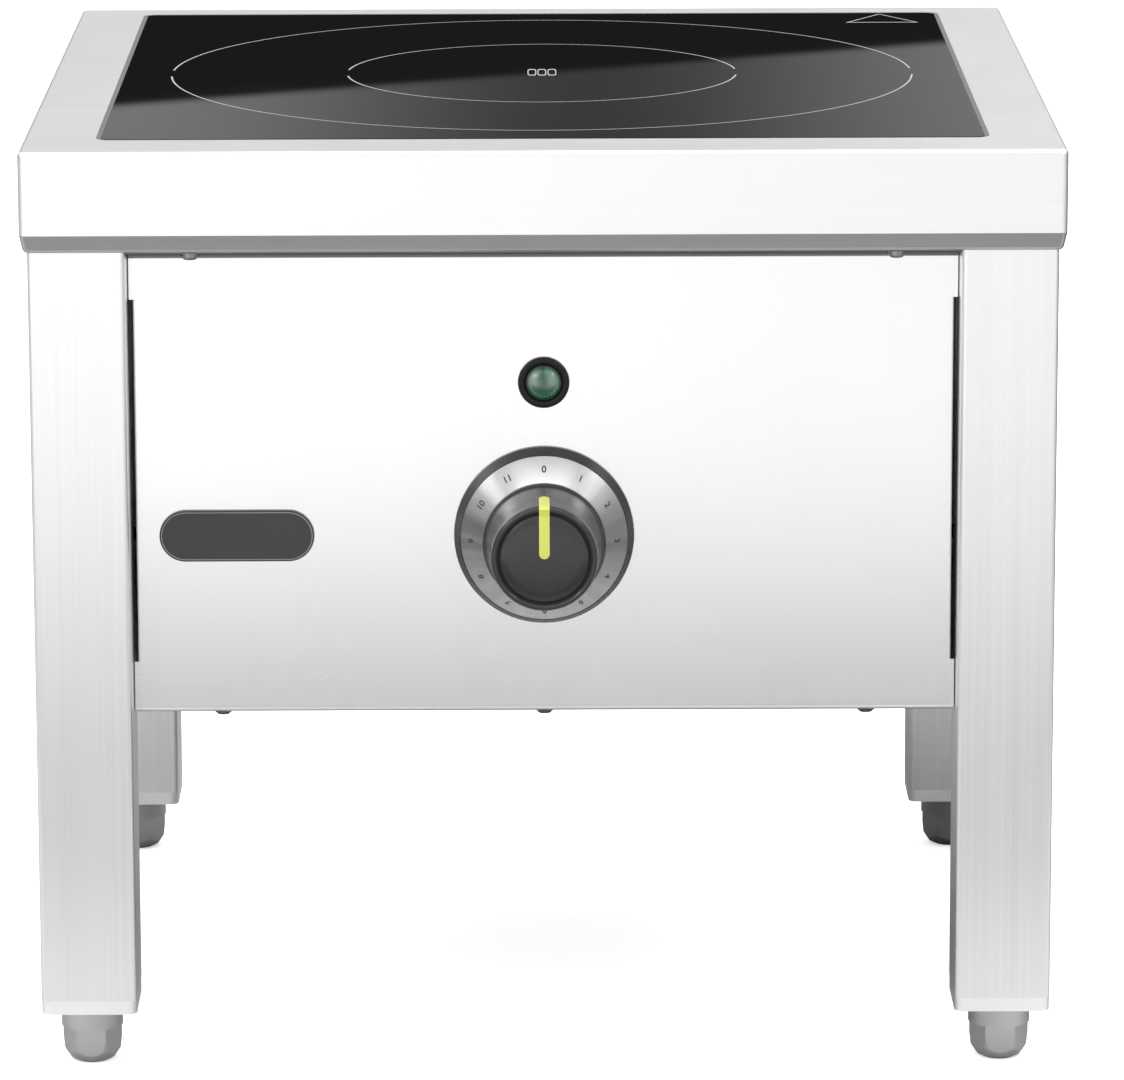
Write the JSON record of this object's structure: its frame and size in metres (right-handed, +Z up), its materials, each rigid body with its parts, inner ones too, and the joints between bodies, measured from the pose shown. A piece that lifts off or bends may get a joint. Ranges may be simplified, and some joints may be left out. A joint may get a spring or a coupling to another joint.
{
  "type": "induction hob",
  "caption": "Low square floor-standing induction hob: flush black glass in a steel tray on tube legs, with a boxed generator, rotary dial and screw feet.",
  "frame": {"origin": "on the floor, at the middle of the hob's box from knob tip to tray rear", "axes": "+X to the right seen from the front, +Y to the rear, +Z up"},
  "size_m": [0.43, 0.446, 0.392],
  "materials": {
    "tray_steel": "brushed satin stainless sheet, grain across the width",
    "black_glass": "polished black glass ceramic with fine pale printed rings",
    "seal_silicone": "matt pale grey silicone bead",
    "leg_steel": "brushed satin stainless tube, grain along its length",
    "rail_steel": "satin stainless tube",
    "plug_metal": "matt cast metal plug",
    "foot_metal": "turned satin steel",
    "zinc_steel": "bright zinc plated thread",
    "panel_steel": "fine satin stainless sheet",
    "screw_steel": "bright stainless",
    "dial_black": "fine textured black plastic",
    "dial_aluminium": "spun aluminium with black printed figures",
    "knob_black": "fine textured black plastic",
    "pointer_lime": "bright yellow-green plastic",
    "dark_plastic": "moulded black plastic",
    "lamp_green": "clear green moulded plastic",
    "badge_black": "plain black plate with a thin inset border",
    "copper_litz": "varnished copper winding",
    "mica_board": "pale insulating board",
    "ferrite": "dark grey sintered ferrite",
    "bare_aluminium": "mill finish aluminium",
    "sensor_ceramic": "off-white ceramic",
    "circuit_board": "green lacquered circuit board",
    "white_plastic": "natural nylon",
    "guard_wire": "plated steel guard"
  },
  "bodies": {
    "frame": {"top_tray": "tray_steel", "glass_plate": "black_glass", "glass_seal": "seal_silicone", "leg_front_left": "leg_steel", "leg_front_right": "leg_steel", "leg_rear_left": "leg_steel", "leg_rear_right": "leg_steel", "rail_front": "rail_steel", "rail_rear": "rail_steel", "rail_left": "rail_steel", "rail_right": "rail_steel", "leg_plug_front_left": "plug_metal", "leg_plug_front_right": "plug_metal", "leg_plug_rear_left": "plug_metal", "leg_plug_rear_right": "plug_metal", "front_panel": "panel_steel", "side_panel_left": "panel_steel", "side_panel_right": "panel_steel", "rear_panel": "panel_steel", "base_plate": "panel_steel", "flange_screws": "screw_steel", "flange_washers": "screw_steel", "housing_screws": "screw_steel", "clinch_nuts": "screw_steel", "lock_nuts": "screw_steel", "bonding_stud": "screw_steel", "bonding_nuts": "screw_steel", "dial_bezel": "dial_black", "dial_ring": "dial_aluminium", "switch_body": "dark_plastic", "lamp_bezel": "dark_plastic", "lamp_body": "dark_plastic", "cable_gland": "dark_plastic", "fan_frame": "dark_plastic", "terminal_block": "dark_plastic", "lamp_lens": "lamp_green", "badge": "badge_black", "coil_winding": "copper_litz", "mica_sheet": "mica_board", "coil_former": "mica_board", "ferrite_bars": "ferrite", "coil_support": "bare_aluminium", "heat_sink": "bare_aluminium", "power_capacitors": "bare_aluminium", "temperature_sensor": "sensor_ceramic", "generator_board": "circuit_board", "board_standoffs": "white_plastic", "fan_guard": "guard_wire"},
    "knob": {"knob": "knob_black", "knob_pointer": "pointer_lime", "switch_shaft": "screw_steel"},
    "fan": {"fan_rotor": "dark_plastic"},
    "stud_front_left": {"foot_stud_front_left": "zinc_steel"},
    "foot_front_left": {"foot_front_left": "foot_metal"},
    "stud_front_right": {"foot_stud_front_right": "zinc_steel"},
    "foot_front_right": {"foot_front_right": "foot_metal"},
    "stud_rear_left": {"foot_stud_rear_left": "zinc_steel"},
    "foot_rear_left": {"foot_rear_left": "foot_metal"},
    "stud_rear_right": {"foot_stud_rear_right": "zinc_steel"},
    "foot_rear_right": {"foot_rear_right": "foot_metal"}
  },
  "joints": [
    {"name": "knob_turn", "type": "hinge", "parent": "frame", "child": "knob", "pos_m": [0, -0.19, 0.227], "axis": [0, 1, 0], "range_deg": [0, 330]},
    {"name": "fan_spin", "type": "hinge", "parent": "frame", "child": "fan", "pos_m": [-0.085, 0.033, 0.166], "axis": [0, 0, 1], "continuous": true},
    {"name": "foot_turn_front_left", "type": "hinge", "parent": "stud_front_left", "child": "foot_front_left", "pos_m": [-0.192, -0.173, 0.012], "axis": [0, 0, -1], "range_deg": [0, 4800]},
    {"name": "foot_height_front_left", "type": "slide", "parent": "frame", "child": "stud_front_left", "axis": [0, 0, -1], "range_m": [0, 0.0201]},
    {"name": "foot_turn_front_right", "type": "hinge", "parent": "stud_front_right", "child": "foot_front_right", "pos_m": [0.192, -0.173, 0.012], "axis": [0, 0, -1], "range_deg": [0, 4800]},
    {"name": "foot_height_front_right", "type": "slide", "parent": "frame", "child": "stud_front_right", "axis": [0, 0, -1], "range_m": [0, 0.0201]},
    {"name": "foot_turn_rear_left", "type": "hinge", "parent": "stud_rear_left", "child": "foot_rear_left", "pos_m": [-0.192, 0.174, 0.012], "axis": [0, 0, -1], "range_deg": [0, 4800]},
    {"name": "foot_height_rear_left", "type": "slide", "parent": "frame", "child": "stud_rear_left", "axis": [0, 0, -1], "range_m": [0, 0.0201]},
    {"name": "foot_turn_rear_right", "type": "hinge", "parent": "stud_rear_right", "child": "foot_rear_right", "pos_m": [0.192, 0.174, 0.012], "axis": [0, 0, -1], "range_deg": [0, 4800]},
    {"name": "foot_height_rear_right", "type": "slide", "parent": "frame", "child": "stud_rear_right", "axis": [0, 0, -1], "range_m": [0, 0.0201]}
  ],
  "couplings": [
    {"joint": "foot_height_front_left", "follows": "foot_turn_front_left", "m_per_rad": 0.00023873},
    {"joint": "foot_height_front_right", "follows": "foot_turn_front_right", "m_per_rad": 0.00023873},
    {"joint": "foot_height_rear_left", "follows": "foot_turn_rear_left", "m_per_rad": 0.00023873},
    {"joint": "foot_height_rear_right", "follows": "foot_turn_rear_right", "m_per_rad": 0.00023873}
  ]
}
